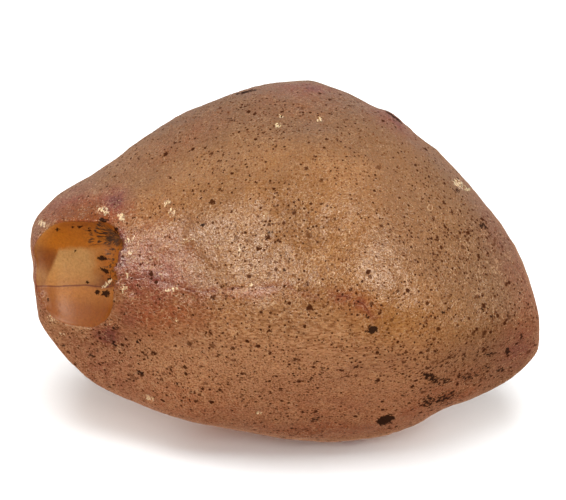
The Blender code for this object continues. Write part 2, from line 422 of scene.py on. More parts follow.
@dataclass
class Pebble:
    """The stone: a rounded body, worn, pitted, once cracked and healed, with flakes struck off.

    Lengths are in mm, and places are U, V, W. A nick is its U and V, its radius and its depth. A
    band of the rim's painted shade is its share and its width, in the cosine between the surface
    and the face.
    """

    face_lean: float = 28.0
    front_depth: float = 15.0
    back_depth: float = 16.0
    squareness: float = 2.4
    rim: tuple[tuple[float, float], ...] = (
        (-21.65, 1.2), (-21.4, -0.2), (-21.25, -3.0), (-20.95, -5.95), (-18.75, -9.2),
        (-17.95, -10.15), (-16.1, -10.95), (-10.6, -13.25), (-4.0, -14.7), (2.0, -15.45),
        (7.5, -15.25), (9.2, -14.95), (11.2, -14.1), (14.6, -12.25), (17.5, -11.4), (19.45, -10.8),
        (21.6, -8.15), (22.0, -5.3), (21.1, -1.5), (19.05, 2.25), (16.75, 5.25), (13.6, 9.1),
        (10.2, 11.9), (9.3, 12.65), (8.0, 13.35), (4.6, 15.3), (2.6, 16.0), (-0.4, 15.75),
        (-4.2, 14.6), (-8.7, 12.9), (-11.9, 11.3), (-15.75, 8.7), (-17.3, 7.6), (-19.3, 6.2),
        (-21.2, 3.8),
    )  # fmt: skip
    facets: tuple[Facet, ...] = (
        Facet((-0.06, 0.27, 0.95), 12.0, 2.0),
        Facet((-0.03, -0.22, 0.97), 13.1, 1.0),
        Facet((-0.34, 0.05, 0.94), 12.0, 1.3),
        Facet((0.02, 0.78, 0.62), 13.0, 2.5),
        Facet((-0.42, 0.66, 0.62), 13.0, 2.5),
        Facet((-0.42, -0.55, 0.72), 13.2, 2.0),
        Facet((0.05, -0.80, 0.60), 13.0, 2.5),
        Facet((0.58, -0.06, 0.81), 16.6, 3.0),
        Facet((0.50, 0.45, 0.74), 13.8, 3.0),
        Facet((0.70, 0.66, 0.27), 15.6, 0.5),
        Facet((0.50, -0.74, 0.45), 16.6, 1.2),
        Facet((0.10, 0.55, -0.83), 12.6, 2.0),
        Facet((-0.50, 0.25, -0.83), 14.2, 2.0),
        Facet((0.55, 0.10, -0.83), 15.2, 2.0),
        Facet((-0.10, -0.50, -0.86), 14.6, 2.0),
        Facet((0.42, -0.60, -0.68), 15.6, 2.0),
        Facet((-0.62, -0.40, -0.68), 15.4, 2.0),
        Facet((0.72, 0.45, -0.53), 16.4, 2.0),
        Facet((-0.40, 0.72, -0.57), 13.8, 2.0),
    )
    swells: tuple[Swell, ...] = (Swell(24, 9.0, 20.0, 0.16, 3), Swell(40, 2.2, 5.0, 0.03, 5))
    orange_peel: Swell = Swell(120, 0.7, 1.7, 0.012, 11)
    pits: tuple[Pits, ...] = (
        Pits(1.3, 0.50, 0.42, 0.05, 21),
        Pits(3.6, 0.40, 1.10, 0.06, 22),
    )
    scars: tuple[Flake, ...] = (
        Flake((-6.85, 14.1, -1.2), (-0.33, 0.94, 0.05), (0.45, 4.6, 3.2), 0.05, 2.0, 0.10),
        Flake((12.05, 10.8, -1.0), (0.56, 0.825, 0.05), (0.4, 2.8, 3.2), 0.05, 2.0, 0.10),
        Flake((8.5, 3.0, -13.4), (0.20, 0.30, -0.93), (2.6, 6.8, 8.4), 0.25, 2.0, 0.12),
        Flake((-13.5, -1.5, -10.5), (-0.68, -0.10, -0.73), (1.5, 5.0, 4.2), 0.3, 2.0, 0.12),
    )
    chips: tuple[Flake, ...] = (
        Flake((-18.2, -1.3, 5.8), (-0.46, -0.08, 0.885), (2.3, 5.15, 3.9), 0.30, 2.6, 0.05),
        Flake((-16.0, 1.2, 6.9), (-0.36, -0.12, 0.92), (1.9, 2.3, 2.2), 0.15, 2.2, 0.08),
        Flake((-15.0, -1.6, 7.0), (-0.20, 0.20, 0.95), (1.0, 1.2, 0.8), 0.08, 2.0, 0.12),
    )
    nicks: tuple[tuple[float, float, float, float], ...] = (
        (-15.4, 4.45, 0.50, 0.20), (-13.8, 3.9, 0.34, 0.18), (-20.8, 3.4, 0.45, 0.16),
        (-13.8, 1.5, 0.42, 0.18), (-10.0, 4.85, 0.62, 0.16), (-10.5, 5.7, 0.30, 0.12),
        (-9.4, 4.1, 0.42, 0.15), (14.8, 6.7, 0.50, 0.18), (15.5, 6.3, 0.35, 0.14),
        (-11.7, -11.6, 0.55, 0.14), (-2.2, -12.8, 0.34, 0.12), (-0.4, 12.4, 0.30, 0.12),
        (-0.7, 11.6, 0.34, 0.12), (2.9, 12.1, 0.30, 0.12), (-12.9, -2.6, 0.38, 0.14),
        (-7.8, -3.0, 0.34, 0.10),
    )  # fmt: skip
    nick_patch: int = 40
    nick_lift: float = 0.6
    nick_spread: float = 1.25
    nick_rounding: float = 0.03
    # Painted shade: these bands darken the skin near the rim, where it turns away from the face.
    rim_shade_bands: tuple[tuple[float, float], ...] = ((0.45, 0.3), (0.55, 0.12))
    rim_shade_fade: tuple[float, float] = (-0.35, 0.05)
    fissure: Fissure = Fissure(
        ((-22.0, -1.9), (-20.9, -2.0), (-19.4, -2.2), (-16.3, -2.35), (-14.7, -2.15), (-13.7, -1.4),
         (-11.6, -1.3), (-9.9, -1.65), (-7.6, -2.3), (-4.0, -2.2), (-1.0, -2.1), (1.3, -2.5),
         (5.2, -3.0), (6.5, -3.6), (7.2, -4.6)),
        6.8,
        -9.0,
    )  # fmt: skip
    stains: SpotField = SpotField(Side.FRONT, (
        (7.25, -5.6, 0.46, 0.42, 0, 1.3), (6.85, -4.5, 0.30, 0.26, 0, 0.9),
        (8.6, -13.5, 0.85, 0.48, 20, 1.4), (12.1, -9.6, 0.80, 0.50, 0, 0.85),
        (13.6, -11.6, 1.60, 0.80, 25, 0.72), (12.3, -11.9, 1.10, 0.60, 25, 0.75),
        (15.6, -9.8, 1.60, 0.50, 10, 0.66), (17.3, -7.8, 0.80, 0.24, 0, 0.85),
        (13.4, -10.1, 1.20, 0.50, 10, 0.66), (11.0, -14.0, 1.20, 0.30, 25, 0.66),
        (10.2, -11.2, 0.60, 0.40, 0, 0.60), (13.2, -4.2, 0.24, 0.22, 0, 0.80),
        (14.3, -4.6, 0.22, 0.20, 0, 0.80), (15.2, -7.9, 0.24, 0.24, 0, 0.75),
        (5.9, -3.3, 0.40, 0.26, 40, 0.70), (20.2, -6.4, 0.30, 0.60, 0, 0.70),
        (19.0, -7.6, 0.40, 0.55, 0, 0.8), (2.6, -13.3, 0.50, 0.36, 0, 0.75),
        (-16.6, -8.0, 0.42, 0.36, 0, 0.8), (-12.3, -9.4, 0.55, 0.30, 0, 0.75),
        (-9.1, -10.4, 0.40, 0.26, 0, 0.75), (-1.3, 2.5, 0.36, 0.26, 0, 0.85),
        (16.8, 3.1, 0.60, 0.40, -40, 0.8), (-4.5, 12.2, 0.60, 0.28, 0, 0.7),
        (-2.9, 7.2, 0.26, 0.22, 0, 0.75), (14.6, 6.0, 0.40, 0.34, 0, 0.75),
        (17.4, -4.6, 0.30, 0.26, 0, 0.8), (18.8, -4.4, 0.26, 0.8, 0, 0.7),
        (-16.0, -2.55, 0.40, 0.26, 0, 1.0), (-15.2, -2.65, 0.42, 0.30, 0, 1.25),
        (-15.5, 0.35, 0.70, 0.26, 0, 1.0), (-15.3, -0.75, 0.80, 0.24, -25, 0.95),
        (-14.9, -1.4, 0.50, 0.18, 20, 0.8), (-14.4, -5.6, 0.40, 0.55, 20, 0.7),
        (-17.9, 0.95, 0.20, 0.17, 0, 1.1), (-16.8, -1.65, 0.22, 0.17, 0, 1.1),
        (-20.3, -3.3, 0.15, 0.36, 0, 0.9), (-19.4, 2.75, 0.26, 0.24, 0, 1.0),
        (-18.1, 3.05, 0.12, 0.30, 0, 0.85), (-17.4, 3.05, 0.36, 0.16, 0, 0.9),
        (-16.6, 2.65, 0.34, 0.20, -30, 0.9), (-20.2, -5.2, 0.30, 0.12, 20, 0.8),
        (-6.9, 3.1, 0.26, 0.20, 20, 0.85), (-9.2, 3.6, 0.22, 0.18, 0, 0.8),
        (0.0, -0.7, 0.22, 0.20, 0, 0.85), (-12.5, -6.7, 0.40, 0.22, -30, 0.85),
        (-14.6, -6.9, 0.30, 0.50, 30, 0.8), (-19.0, -7.2, 0.34, 0.24, 0, 0.8),
        (-13.6, -4.3, 0.18, 0.26, 0, 0.75), (-11.4, 1.9, 0.20, 0.18, 0, 0.75),
        (-3.4, 14.6, 1.5, 0.14, 14, 0.9), (9.3, 12.45, 1.3, 0.14, -36, 0.9),
        (-15.3, 3.55, 0.80, 0.24, -10, 0.85), (-14.3, 2.7, 0.30, 0.50, 20, 0.8),
        (12.6, -9.9, 0.50, 0.40, 0, 0.9), (18.6, -9.2, 0.60, 0.30, 0, 0.72),
        (16.6, -3.9, 0.24, 0.22, 0, 0.8), (17.0, -9.0, 0.70, 0.24, 0, 0.7),
    ))  # fmt: skip
    back_stains: SpotField = SpotField(Side.BACK, (
        (-6.0, -6.5, 1.2, 0.7, 30, 1.0), (4.5, -9.0, 1.6, 0.6, -15, 0.8),
        (11.5, -4.0, 0.7, 0.5, 0, 0.9), (-12.0, 4.5, 0.8, 0.5, 10, 0.75),
        (2.0, 8.0, 1.1, 0.45, -20, 0.7), (14.5, 2.0, 0.5, 0.5, 0, 0.9),
        (-1.0, 1.0, 0.6, 0.4, 0, 0.8), (-16.0, -3.0, 0.6, 0.5, 0, 0.85),
    ))  # fmt: skip
    # Blush spots of real colour; those at the right edge are painted shade.
    blush_and_shade_spots: SpotField = SpotField(Side.FRONT, (
        (-11.4, -1.3, 3.0, 2.8, 0, 1.1), (-14.9, -6.4, 1.5, 0.9, -20, 1.7),
        (-14.3, 5.2, 1.1, 1.2, 30, 1.7), (-13.9, 0.8, 0.60, 1.7, 0, 3.2),
        (-13.2, -4.0, 1.3, 2.0, 0, 0.8), (-21.2, -1.0, 1.0, 4.5, 0, 1.1),
        (2.4, 15.6, 2.8, 1.0, 0, 2.0), (9.4, 12.2, 2.4, 1.0, -35, 1.1),
        (-18.5, 5.6, 2.2, 1.0, 30, 0.8), (20.3, -8.0, 2.0, 2.6, 0, 1.2),
        (-15.5, -9.0, 5.0, 2.6, -30, 0.6), (19.0, 1.5, 1.6, 6.0, 25, 0.5),
    ))  # fmt: skip
    back_blushes: SpotField = SpotField(Side.BACK, (
        (-16.5, -2.0, 3.2, 2.4, 0, 0.9), (-8.0, -8.0, 3.5, 2.0, 20, 0.6),
        (10.0, 6.0, 3.0, 2.0, -30, 0.5),
    ))  # fmt: skip
    # Rust of real colour; the broad spots along the top and at the right edge are painted shade.
    rust_and_shade: SpotField = SpotField(Side.FRONT, (
        (-10.6, -4.5, 4.6, 1.9, 5, 0.9), (-4.0, -2.6, 4.0, 0.5, 0, 0.7),
        (6.0, -3.4, 1.7, 0.9, -25, 0.9), (3.0, -14.6, 8.0, 1.1, 3, 1.5),
        (12.5, -12.0, 5.0, 1.5, 28, 1.0), (-7.0, -12.5, 7.0, 2.2, -15, 0.7),
        (4.0, -12.6, 9.0, 2.0, 0, 0.55), (-14.5, -9.5, 5.0, 2.6, -30, 0.25),
        (-17.2, 4.3, 3.2, 1.1, 0, 3.0), (20.8, -4.0, 1.6, 4.5, 0, 0.5),
        (-17.5, -9.0, 3.0, 2.4, -30, 0.3), (14.5, -12.6, 4.5, 1.5, 25, 1.3),
        (1.5, 14.0, 7.0, 2.2, 0, 0.35), (-8.0, 11.0, 6.0, 1.4, 30, 0.35),
        (-11.5, -0.5, 3.6, 4.5, 0, 0.8),
    ))  # fmt: skip
    back_rust: SpotField = SpotField(Side.BACK, (
        (0.0, -9.5, 8.0, 2.6, 5, 0.9), (9.5, 2.0, 4.5, 3.5, 20, 0.7),
        (-12.0, 3.0, 4.0, 2.0, -20, 0.7),
    ))  # fmt: skip
    honey: SpotField = SpotField(Side.FRONT, (
        (9.0, -5.0, 3.6, 2.4, 0, 1.0), (-9.5, 5.5, 5.0, 3.4, 15, 0.3),
        (11.0, -4.5, 6.0, 4.0, 0, 0.7), (1.5, 3.0, 6.0, 4.5, 0, 0.25),
        (13.5, 1.0, 3.0, 4.5, 0, 0.4),
    ))  # fmt: skip
    crowds: SpotField = SpotField(Side.FRONT, (
        (13.5, -9.0, 6.0, 4.5, 20, 1.5), (14.0, 3.0, 6.0, 6.0, 0, 0.9),
        (-15.0, -8.0, 5.0, 3.4, -30, 1.1), (5.0, -3.0, 4.0, 3.0, 0, 0.9),
        (0.0, -12.0, 8.0, 3.0, 0, 0.7), (-6.0, -7.0, 6.0, 3.0, 0, 0.4),
        (2.0, 4.0, 5.0, 5.0, 0, 0.5), (19.0, -5.0, 3.0, 6.0, 0, 1.2),
        (-2.0, 11.0, 9.0, 3.0, 15, 0.6), (-1.0, -8.5, 13.0, 5.0, 0, 0.8),
        (12.8, -10.9, 2.4, 1.4, 20, 2.4), (17.0, 2.6, 1.6, 1.0, -40, 1.8),
    ))  # fmt: skip
    # Painted glints: bright spots laid into the colour where highlights fall.
    painted_glints: SpotField = SpotField(Side.FRONT, (
        (-15.4, 4.4, 0.50, 0.32, -30, 1.5), (-13.8, 3.85, 0.28, 0.46, 30, 1.4),
        (-20.8, 3.3, 0.50, 0.26, -40, 1.4), (-13.1, 1.9, 0.60, 0.30, 30, 0.9),
        (-12.9, -2.6, 0.30, 0.30, 0, 0.6), (-10.0, 4.95, 0.55, 0.26, 30, 1.0),
        (-9.5, 4.2, 0.34, 0.50, 0, 1.1), (-15.1, -1.8, 0.62, 0.17, 42, 1.5),
        (-13.6, -2.3, 0.45, 0.55, 0, 0.85), (14.8, 6.7, 0.60, 0.34, -35, 1.4),
        (15.6, 6.2, 0.34, 0.26, 0, 1.2), (-11.7, -11.6, 0.60, 0.28, -20, 1.1),
        (-2.2, -12.8, 0.30, 0.26, 0, 1.1), (-0.4, 12.4, 0.30, 0.26, 0, 1.1),
        (-0.6, 11.6, 0.30, 0.26, 0, 1.1), (2.9, 12.1, 0.30, 0.26, 0, 1.1),
        (-9.6, -2.3, 0.9, 0.20, 10, 0.9), (-9.1, -4.8, 0.26, 0.24, 0, 0.9),
        (-3.8, 0.9, 0.18, 1.4, 0, 0.65), (-1.6, 4.0, 0.24, 0.9, -20, 0.6),
        (-8.3, 1.9, 1.3, 0.20, 0, 0.65), (-5.6, 1.3, 0.50, 0.20, -30, 0.8),
        (-2.9, -1.9, 0.40, 0.20, 20, 0.75), (-13.1, 0.8, 0.36, 0.30, 30, 0.9),
        (-13.3, -1.0, 0.20, 0.50, 0, 0.8), (-20.0, -4.9, 0.60, 0.30, -30, 0.8),
        (-19.0, -6.2, 0.60, 0.20, -20, 0.75), (-15.0, -5.2, 0.30, 0.24, 0, 0.8),
    ))  # fmt: skip
    grid: CubeSphere = CubeSphere(128, (-17.0, 0.0, 6.5), 0.5, 0.42)

    def rim_radius(self, angles: np.ndarray) -> np.ndarray:
        """The rim's distance from the middle: a smooth closed curve through the rim's points.

        Between two points it is a Hermite cubic in the angle, whose slopes are the differences
        across each point.

        Args:
            angles: turns about W from U towards V, in radians.

        Returns:
            The distance at each angle, in mm.
        """
        points = np.array(self.rim)
        turns = np.arctan2(points[:, 1], points[:, 0])
        order = np.argsort(turns)
        turns, radii = turns[order], np.hypot(points[:, 0], points[:, 1])[order]
        turns = np.concatenate([turns[-2:] - math.tau, turns, turns[:3] + math.tau])
        radii = np.concatenate([radii[-2:], radii, radii[:3]])
        slopes = np.gradient(radii, turns)
        start = np.clip(np.searchsorted(turns, angles, side="right") - 1, 1, len(turns) - 3)
        step = turns[start + 1] - turns[start]
        t = (angles - turns[start]) / step
        return (
            (2 * t**3 - 3 * t**2 + 1) * radii[start]
            + (t**3 - 2 * t**2 + t) * step * slopes[start]
            + (3 * t**2 - 2 * t**3) * radii[start + 1]
            + (t**3 - t**2) * step * slopes[start + 1]
        )

    def body(self, directions: np.ndarray) -> np.ndarray:
        """The worn stone before its skin's fine relief.

        In a direction at angle phi, (across / rim(phi))^n + (deep / depth)^n is 1 on the surface,
        where n is the squareness. The facets are then worn on, and the swells are added.

        Args:
            directions: unit directions in U, V, W.

        Returns:
            Points on the surface, in mm.
        """
        u, v, w = directions.T
        depth = np.where(w > 0, self.front_depth, self.back_depth)
        across = np.hypot(u, v) / self.rim_radius(np.arctan2(v, u))
        power = self.squareness
        radius = (across**power + (np.abs(w) / depth) ** power) ** (-1 / power)
        for facet in self.facets:
            radius = facet.wear(directions, radius)
        points = directions * radius[:, None]
        relief = sum(swell.relief(points) for swell in self.swells)
        return points + directions * relief[:, None]

    def nick(self, points: np.ndarray, u: float, v: float, radius: float, depth: float) -> Flake:
        """A small fresh nick in the front of the stone, square to its surface.

        The surface's direction is the one along which the points nearest to the nick vary least.
        The egg's middle is lifted off the surface, and the egg is wider than the nick, so that it
        cuts the surface at about the nick's radius.

        Args:
            points: the stone's surface.
            u: place across the face.
            v: place up the face.
            radius: half the nick's width.
            depth: how deep its middle is.

        Returns:
            A flake whose egg sinks depth below the nearest point of the surface.
        """
        gap = np.hypot(points[:, 0] - u, points[:, 1] - v) + np.where(points[:, 2] > 0, 0, FAR)
        near = points[np.argsort(gap)[: self.nick_patch]]
        middle = near[0]
        outward = np.linalg.svd(near - near.mean(0))[2][2]
        outward = outward * np.sign(outward @ middle)
        lift = radius * self.nick_lift
        size = (depth + lift, radius * self.nick_spread, radius * self.nick_spread)
        return Flake(tuple(middle + outward * lift), tuple(outward), size, self.nick_rounding)

    def rim_shade(self, points: np.ndarray, quads: np.ndarray) -> np.ndarray:
        """How much painted shade darkens the skin near the rim, at each point.

        A quad's normal is the cross product of its diagonals, and a point's normal is the sum of
        those about it, made a unit vector. With out as its part along W, the strength is the sum of
        share * exp(-(out / width)^2) over the rim's bands. It fades on the back.

        Args:
            points: the stone's surface.
            quads: rows of four corner numbers.

        Returns:
            About 1 on the rim, falling to 0 on either face.
        """
        corners = points[quads]
        across = np.cross(corners[:, 2] - corners[:, 0], corners[:, 3] - corners[:, 1])
        normals = np.zeros_like(points)
        np.add.at(normals, quads.reshape(-1), np.repeat(across, 4, axis=0))
        out = normals[:, 2] / np.linalg.norm(normals, axis=1)
        dark = sum(share * np.exp(-((out / width) ** 2)) for share, width in self.rim_shade_bands)
        return dark * ease(out, *self.rim_shade_fade)

    def surface(self) -> Surface:
        """The finished surface: the body, its pits and relief sunk in, and its flakes carved off.

        Returns:
            Points in mm, quads, and the named values that the skin's material reads at each point.
        """
        directions, quads = self.grid.grid()
        points = self.body(directions)
        crack = self.fissure.distance(points)
        sunk = sum(pits.sunk(points) for pits in self.pits) + self.fissure.sunk(crack)
        points = points + directions * (self.orange_peel.relief(points) - sunk)[:, None]
        for scar in self.scars:
            points, _ = scar.carve(points)
        before = points
        for chip in self.chips:
            points, _ = chip.carve(points)
        chipped = np.linalg.norm(points - before, axis=1)
        before = points
        for nick in [self.nick(points, *place) for place in self.nicks]:
            points, _ = nick.carve(points)
        fields = {
            "chipped": chipped,
            "nicked": np.linalg.norm(points - before, axis=1),
            "crack": crack,
            "stain": np.maximum(self.stains.strength(points), self.back_stains.strength(points)),
            # Blush and rust: real colour, with painted shade at the top and the right edge.
            "blush_and_shade": np.maximum(self.blush_and_shade_spots.strength(points), self.back_blushes.strength(points)),
            "rust_and_shade": np.maximum(self.rust_and_shade.strength(points), self.back_rust.strength(points)),
            "honey": self.honey.strength(points),
            "crowd": self.crowds.strength(points),
            # Painted shade along the rim.
            "rim": self.rim_shade(points, quads),
            # Painted glints.
            "painted_glint": self.painted_glints.strength(points),
        }
        return points, quads, fields

    def build(self, name: str, box: tuple[Vector, Vector]) -> tuple[bpy.types.Object, FaceFrame]:
        """The stone as a mesh object that stands where the CAD solid stands.

        The two boxes share their middle across and from front to back, and their top. What reaches
        below the solid's flat is pressed level with it.

        Args:
            name: the object's name.
            box: the CAD solid's lowest and highest corners, in metres.

        Returns:
            The object, and the frame that its finish is laid out in.
        """
        points, quads, fields = self.surface()
        places = FaceFrame(self.face_lean).world(points)
        middle = (places.min(0) + places.max(0)) / 2
        shift = Vector((box[0] + box[1]) / 2) - Vector(middle)
        shift.z = box[1].z - places[:, 2].max()
        places = places + np.array(shift)
        places[:, 2] = np.maximum(places[:, 2], box[0].z)
        mesh = bpy.data.meshes.new(name)
        mesh.from_pydata(places, [], quads)
        mesh.shade_smooth()
        for field_name, values in fields.items():
            attribute = mesh.attributes.new(field_name, "FLOAT", "POINT")
            attribute.data.foreach_set("value", values.astype(np.float32))
        stone = bpy.data.objects.new(name, mesh)
        bpy.context.scene.collection.objects.link(stone)
        return stone, FaceFrame(self.face_lean, tuple(shift))


class Wire:
    """The output of a shader node. Python's operators on it add the nodes that work them out."""

    def __init__(self, graph: "Graph", socket: bpy.types.NodeSocket) -> None:
        """Holds the socket and the graph that new nodes go into."""
        self.graph = graph
        self.socket = socket

    @property
    def is_vector(self) -> bool:
        """Whether the socket carries three numbers."""
        return self.socket.type in ("VECTOR", "RGBA")

    def _work(self, operation: str, *terms: "Wire | float | Triple") -> "Wire":
        """Adds a Math node, or a Vector Math node where one of the terms has three numbers.

        Args:
            operation: what the node works out.
            terms: its inputs in order.

        Returns:
            A wire from the node.
        """
        settings = {"operation": operation}
        vectors = (
            term.is_vector if isinstance(term, Wire) else isinstance(term, tuple)
            for term in terms
        )
        if not any(vectors):
            return self.graph.add("ShaderNodeMath", settings, dict(enumerate(terms)))
        terms = [(term,) * 3 if isinstance(term, (int, float)) else term for term in terms]
        return self.graph.add("ShaderNodeVectorMath", settings, dict(enumerate(terms)))

    def __add__(self, other: "Wire | float | Triple") -> "Wire":
        """self + other."""
        return self._work("ADD", self, other)

    __radd__ = __add__

    def __mul__(self, other: "Wire | float | Triple") -> "Wire":
        """self * other."""
        return self._work("MULTIPLY", self, other)

    __rmul__ = __mul__

    def __sub__(self, other: "Wire | float | Triple") -> "Wire":
        """self - other."""
        return self._work("SUBTRACT", self, other)

    def __rsub__(self, other: float | Triple) -> "Wire":
        """other - self."""
        return self._work("SUBTRACT", other, self)

    def __truediv__(self, other: "Wire | float | Triple") -> "Wire":
        """self / other."""
        return self._work("DIVIDE", self, other)

    def __rtruediv__(self, other: float | Triple) -> "Wire":
        """other / self."""
        return self._work("DIVIDE", other, self)

    def __pow__(self, power: "Wire | float") -> "Wire":
        """self to a power, for numbers."""
        return self._work("POWER", self, power)

    def __rpow__(self, base: float) -> "Wire":
        """A number to the power of self."""
        return self._work("POWER", base, self)

    def __abs__(self) -> "Wire":
        """The distance from zero."""
        return self._work("ABSOLUTE", self)

    def most(self, other: "Wire | float") -> "Wire":
        """The larger of two values."""
        return self._work("MAXIMUM", self, other)

    def parts(self) -> tuple["Wire", "Wire", "Wire"]:
        """A vector's three numbers."""
        node = self.graph.add("ShaderNodeSeparateXYZ", {}, {0: self}).socket.node
        return tuple(Wire(self.graph, output) for output in node.outputs)

    def rise(self, low: float, high: float) -> "Wire":
        """A smooth step from 0 at low to 1 at high. It falls where low is above high.

        Args:
            low: the value at which the step is 0.
            high: the value at which it is 1.

        Returns:
            The step.
        """
        settings = {"interpolation_type": "SMOOTHSTEP"}
        values = {0: self, 1: low, 2: high}
        if low >= high:
            values = {0: self, 1: high, 2: low, 3: 1.0, 4: 0.0}
        return self.graph.add("ShaderNodeMapRange", settings, values)


class Graph:
    """The nodes of a material or of the surround."""

    def __init__(self, owner: "bpy.types.Material | bpy.types.World", shader: str) -> None:
        """Turns the owner's nodes on.

        Args:
            owner: what the nodes belong to.
            shader: the name of the shader that it starts with.
        """
        owner.use_nodes = True
        self.tree = owner.node_tree
        self.shader = self.tree.nodes[shader]

    def add(self, kind: str, settings: dict[str, object], values: dict[int | str, object],
            output: int | str = 0) -> Wire:  # fmt: skip
        """Adds any node.

        Args:
            kind: the node's type.
            settings: its properties, which are set first.
            values: numbers or wires for its sockets, by index or by name.
            output: which output is wanted.

        Returns:
            A wire from that output.
        """
        node = self.tree.nodes.new(kind)
        for name, setting in settings.items():
            setattr(node, name, setting)
        for key, value in values.items():
            if isinstance(value, Wire):
                self.tree.links.new(value.socket, node.inputs[key])
            elif isinstance(value, tuple) and node.inputs[key].type == "RGBA" and len(value) == 3:
                node.inputs[key].default_value = (*value, 1.0)
            else:
                node.inputs[key].default_value = value
        return Wire(self, node.outputs[output])

    def feed(self, **values: "Wire | float | Triple") -> None:
        """Links wires to the shader's sockets, and sets constants on them.

        Args:
            values: wires or constants by the socket's name, with underscores for its spaces.
        """
        for name, value in values.items():
            socket = self.shader.inputs[name.replace("_", " ")]
            if isinstance(value, Wire):
                self.tree.links.new(value.socket, socket)
            elif socket.type == "RGBA":
                socket.default_value = (*value, 1.0)
            else:
                socket.default_value = value

    def cover(self, share: Wire, over: Wire) -> None:
        """Lays a second shader over the graph's own, and outputs the two mixed.

        Args:
            share: how much of it shows, from 0 to 1.
            over: the second shader.
        """
        own = Wire(self, self.shader.outputs[0])
        mixed = self.add("ShaderNodeMixShader", {}, {0: share, 1: own, 2: over})
        output = next(node for node in self.tree.nodes if node.type == "OUTPUT_MATERIAL")
        self.tree.links.new(mixed.socket, output.inputs["Surface"])

    def field(self, name: str) -> Wire:
        """A value that the mesh holds at each point."""
        return self.add("ShaderNodeAttribute", {"attribute_name": name}, {}, "Fac")

    def noise(self, place: Wire, size: float, detail: float = 2.0, coarse: float = 0.5) -> Wire:
        """Cloudy values from 0 to 1, in lumps of a size in mm, broken up by finer layers."""
        values = {"Vector": place, "Scale": 1 / size, "Detail": detail, "Roughness": coarse}
        return self.add("ShaderNodeTexNoise", {}, values)

    def wander(self, place: Wire, size: float, amount: float) -> Wire:
        """Pushes a place about by cloudy noise.

        Args:
            place: U, V, W in mm.
            size: about how large the noise's lumps are, in mm.
            amount: about how far it pushes at most, in mm.

        Returns:
            The place pushed about.
        """
        values = {"Vector": place, "Scale": 1 / size, "Detail": 2.0}
        push = self.add("ShaderNodeTexNoise", {}, values, "Color") - (0.5, 0.5, 0.5)
        return place + push * (2 * amount)

    def mix(self, share: "Wire | float", under: "Wire | Triple", over: "Wire | Triple",
            blend: Blend = Blend.COVER) -> Wire:  # fmt: skip
        """Lays one colour over another.

        Args:
            share: how much of it shows, from 0 to 1.
            under: the colour below.
            over: the colour laid on.
            blend: how it is laid on.

        Returns:
            The mixed colour.
        """
        settings = {"data_type": "RGBA", "blend_type": blend.value, "clamp_factor": True}
        values = {0: share, MIX_UNDER: under, MIX_OVER: over}
        return self.add("ShaderNodeMix", settings, values, MIX_COLOUR)

    def ridges(self, place: Wire, size: float, width: float) -> Wire:
        """Thin winding crests: 1 where cloudy noise is at its middle value, 0 a width from it."""
        return abs(self.noise(place, size, 1.5) - 0.5).rise(width, 0.0)

    def dots(self, place: Wire, cell: float, radius: float, share: "Wire | float") -> Wire:
        """Round dots scattered in space, which a surface cuts at random.

        A cell holds at most one dot, of a random radius, which fades towards its edge.

        Args:
            place: U, V, W in mm.
            cell: about how far apart the dots' middles are, in mm.
            radius: a large dot's radius, in mm.
            share: how many of the cells hold a dot, from 0 to 1.

        Returns:
            From 0.5 to 1 in a dot, by chance, and 0 elsewhere.
        """
        values = {"Vector": place, "Scale": 1 / cell}
        near = self.add("ShaderNodeTexVoronoi", {}, values, "Distance")
        size, chosen, strength = Wire(self, near.socket.node.outputs["Color"]).parts()
        reach = (size * (1 - LEAST_DOT) + LEAST_DOT) * (radius / cell)
        shown = (share - chosen).rise(0.0, 0.02) * strength.rise(-0.8, 0.8)
        return (near / reach).rise(*DOT_EDGE) * shown


def apart(u: Wire, v: Wire, middle: tuple[float, float]) -> Wire:
    """How far a place lies from a middle on the face: the root of the sum of the squares."""
    return ((u - middle[0]) ** 2 + (v - middle[1]) ** 2) ** 0.5


@dataclass(frozen=True)
class Wear:
    """Where the stone is broken and dirty.

    The place and the height above the crack are in mm, and broken is noise about 0. The rest run
    from 0 to 1.
    """

    place: Wire
    crack: Wire
    broken: Wire
    chipped: Wire
    nicked: Wire
    stained: Wire
    fine: Wire
    coarse: Wire


